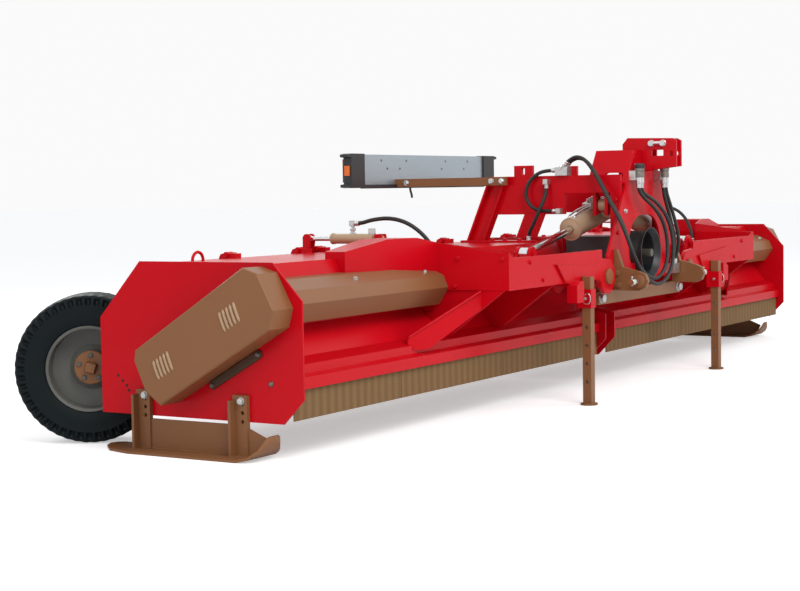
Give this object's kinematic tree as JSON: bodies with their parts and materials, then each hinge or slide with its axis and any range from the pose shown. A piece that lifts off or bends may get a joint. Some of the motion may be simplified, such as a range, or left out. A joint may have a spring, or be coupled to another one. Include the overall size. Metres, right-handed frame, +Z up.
{
  "type": "folding field mulcher",
  "caption": "Rear-mounted folding field mulcher: a three-point hitch tower between two hinged hoods with hammer rotors, belt covers, skids and road wheels.",
  "frame": {"origin": "on the floor under the middle of the machine's box", "axes": "+X across the machine to its right as seen from the tractor looking back, -Y towards the tractor, +Z up"},
  "size_m": [6.9224, 2.1533, 1.488],
  "materials": {
    "red_paint": "glossy red enamel",
    "beige_paint": "satin beige brown enamel",
    "rim_paint": "grey rim paint",
    "chrome_rod": "hard chrome",
    "rotor_steel": "worn steel",
    "gearbox_iron": "painted cast iron",
    "black_plastic": "matte black plastic",
    "bar_aluminium": "brushed aluminium",
    "orange_lens": "orange lamp lens",
    "red_lens": "red lamp lens",
    "tyre_rubber": "tyre rubber",
    "hose_rubber": "hydraulic hose rubber",
    "fitting_steel": "zinc-plated fittings"
  },
  "bodies": {
    "centre_frame": {"pivot_beam": "red_paint", "tower_front_plate": "red_paint", "tower_cheeks": "red_paint", "top_link_clevis": "red_paint", "lower_cross_bar": "beige_paint", "gearbox": "gearbox_iron", "drive_cone_guard": "black_plastic", "light_bar_arms": "beige_paint", "light_bar": "bar_aluminium", "lamp_housings": "black_plastic", "side_lamps": "orange_lens", "tail_lamps": "red_lens", "arch_frames": "red_paint", "link_brackets": "beige_paint", "hose_couplers": "fitting_steel", "tower_hose_inner": "hose_rubber", "tower_hose_outer": "hose_rubber", "drop_hose_inner": "hose_rubber", "drop_hose_outer": "hose_rubber", "arch_hose_loop": "hose_rubber", "arch_hose_drop": "hose_rubber"},
    "left_wing": {"left_hood": "red_paint", "left_end_plates": "red_paint", "left_carrier_arm": "red_paint", "left_shaft_guard": "beige_paint", "left_belt_cover": "beige_paint", "left_skid": "beige_paint", "left_front_flaps": "beige_paint", "left_leg_sleeve": "red_paint", "left_door_hose": "hose_rubber"},
    "left_wheel_swivel": {"left_wheel_arm": "red_paint"},
    "left_wheel": {"left_tyre": "tyre_rubber", "left_rim": "rim_paint"},
    "left_rotor": {"left_rotor": "rotor_steel"},
    "left_rear_door": {"left_rear_door": "red_paint"},
    "left_parking_leg": {"left_parking_leg": "beige_paint"},
    "left_door_ram_barrel": {"left_door_ram_barrel": "beige_paint"},
    "left_door_ram_rod": {"left_door_ram_rod": "chrome_rod"},
    "left_fold_ram_barrel": {"left_fold_ram_barrel": "beige_paint"},
    "left_fold_ram_rod": {"left_fold_ram_rod": "chrome_rod"},
    "right_wing": {"right_hood": "red_paint", "right_end_plates": "red_paint", "right_carrier_arm": "red_paint", "right_shaft_guard": "beige_paint", "right_belt_cover": "beige_paint", "right_skid": "beige_paint", "right_front_flaps": "beige_paint", "right_leg_sleeve": "red_paint", "right_door_hose": "hose_rubber"},
    "right_wheel_swivel": {"right_wheel_arm": "red_paint"},
    "right_wheel": {"right_tyre": "tyre_rubber", "right_rim": "rim_paint"},
    "right_rotor": {"right_rotor": "rotor_steel"},
    "right_rear_door": {"right_rear_door": "red_paint"},
    "right_parking_leg": {"right_parking_leg": "beige_paint"},
    "right_door_ram_barrel": {"right_door_ram_barrel": "beige_paint"},
    "right_door_ram_rod": {"right_door_ram_rod": "chrome_rod"},
    "right_fold_ram_barrel": {"right_fold_ram_barrel": "beige_paint"},
    "right_fold_ram_rod": {"right_fold_ram_rod": "chrome_rod"}
  },
  "joints": [
    {"name": "left_fold", "type": "hinge", "parent": "centre_frame", "child": "left_wing", "pos_m": [-0.62, -0.72066, 0.69], "axis": [0, 1, 0], "range_deg": [0, 90]},
    {"name": "left_wheel_turn", "type": "hinge", "parent": "left_wing", "child": "left_wheel_swivel", "pos_m": [-2.94125, 0.3641, 0.7], "axis": [0, 0, 1], "range_deg": [-41, 7]},
    {"name": "left_wheel_spin", "type": "hinge", "parent": "left_wheel_swivel", "child": "left_wheel", "pos_m": [-3.17, 0.71634, 0.363], "axis": [0.8387, 0.5446, 0], "continuous": true},
    {"name": "left_rotor_spin", "type": "hinge", "parent": "left_wing", "child": "left_rotor", "pos_m": [-1.68, 0.03934, 0.395], "axis": [1, 0, 0], "continuous": true},
    {"name": "left_door_hinge", "type": "hinge", "parent": "left_wing", "child": "left_rear_door", "pos_m": [-1.5, 0.30134, 0.886], "axis": [-1, 0, 0], "range_deg": [-60, 0]},
    {"name": "left_leg_slide", "type": "slide", "parent": "left_wing", "child": "left_parking_leg", "axis": [0, 0, 1], "range_m": [0, 0.2]},
    {"name": "left_fold_ram_swing", "type": "hinge", "parent": "centre_frame", "child": "left_fold_ram_barrel", "pos_m": [0.24, -0.56066, 1.09], "axis": [0, 1, 0], "range_deg": [0, 10.45]},
    {"name": "left_fold_ram_stroke", "type": "slide", "parent": "left_fold_ram_barrel", "child": "left_fold_ram_rod", "axis": [0.9787, 0, 0.2052], "range_m": [0, 0.5477]},
    {"name": "left_door_ram_swing", "type": "hinge", "parent": "left_wing", "child": "left_door_ram_barrel", "pos_m": [-1.88, -0.15066, 0.945], "axis": [-1, 0, 0], "range_deg": [0, 4.47]},
    {"name": "left_door_ram_stroke", "type": "slide", "parent": "left_door_ram_barrel", "child": "left_door_ram_rod", "axis": [0, -1, -0.0022], "range_m": [0, 0.0519]},
    {"name": "right_fold", "type": "hinge", "parent": "centre_frame", "child": "right_wing", "pos_m": [0.62, -0.72066, 0.69], "axis": [0, -1, 0], "range_deg": [0, 90]},
    {"name": "right_wheel_turn", "type": "hinge", "parent": "right_wing", "child": "right_wheel_swivel", "pos_m": [2.94125, 0.3641, 0.7], "axis": [0, 0, -1], "range_deg": [-41, 7]},
    {"name": "right_wheel_spin", "type": "hinge", "parent": "right_wheel_swivel", "child": "right_wheel", "pos_m": [3.17, 0.71634, 0.363], "axis": [0.8387, -0.5446, 0], "continuous": true},
    {"name": "right_rotor_spin", "type": "hinge", "parent": "right_wing", "child": "right_rotor", "pos_m": [1.68, 0.03934, 0.395], "axis": [1, 0, 0], "continuous": true},
    {"name": "right_door_hinge", "type": "hinge", "parent": "right_wing", "child": "right_rear_door", "pos_m": [1.5, 0.30134, 0.886], "axis": [-1, 0, 0], "range_deg": [-60, 0]},
    {"name": "right_leg_slide", "type": "slide", "parent": "right_wing", "child": "right_parking_leg", "axis": [0, 0, 1], "range_m": [0, 0.2]},
    {"name": "right_fold_ram_swing", "type": "hinge", "parent": "centre_frame", "child": "right_fold_ram_barrel", "pos_m": [-0.24, -0.70066, 1.09], "axis": [0, -1, 0], "range_deg": [0, 10.45]},
    {"name": "right_fold_ram_stroke", "type": "slide", "parent": "right_fold_ram_barrel", "child": "right_fold_ram_rod", "axis": [-0.9787, 0, 0.2052], "range_m": [0, 0.5477]},
    {"name": "right_door_ram_swing", "type": "hinge", "parent": "right_wing", "child": "right_door_ram_barrel", "pos_m": [1.88, -0.15066, 0.945], "axis": [-1, 0, 0], "range_deg": [0, 4.47]},
    {"name": "right_door_ram_stroke", "type": "slide", "parent": "right_door_ram_barrel", "child": "right_door_ram_rod", "axis": [0, -1, -0.0022], "range_m": [0, 0.0519]}
  ],
  "couplings": [
    {"joint": "left_fold_ram_swing", "follows": "left_fold", "ratio": 0.1139},
    {"joint": "left_fold_ram_stroke", "follows": "left_fold", "m_per_rad": 0.34803},
    {"joint": "left_door_ram_swing", "follows": "left_door_hinge", "ratio": -0.071218},
    {"joint": "left_door_ram_stroke", "follows": "left_door_hinge", "m_per_rad": -0.048618},
    {"joint": "right_fold_ram_swing", "follows": "right_fold", "ratio": 0.1139},
    {"joint": "right_fold_ram_stroke", "follows": "right_fold", "m_per_rad": 0.34803},
    {"joint": "right_door_ram_swing", "follows": "right_door_hinge", "ratio": -0.071218},
    {"joint": "right_door_ram_stroke", "follows": "right_door_hinge", "m_per_rad": -0.048618}
  ]
}
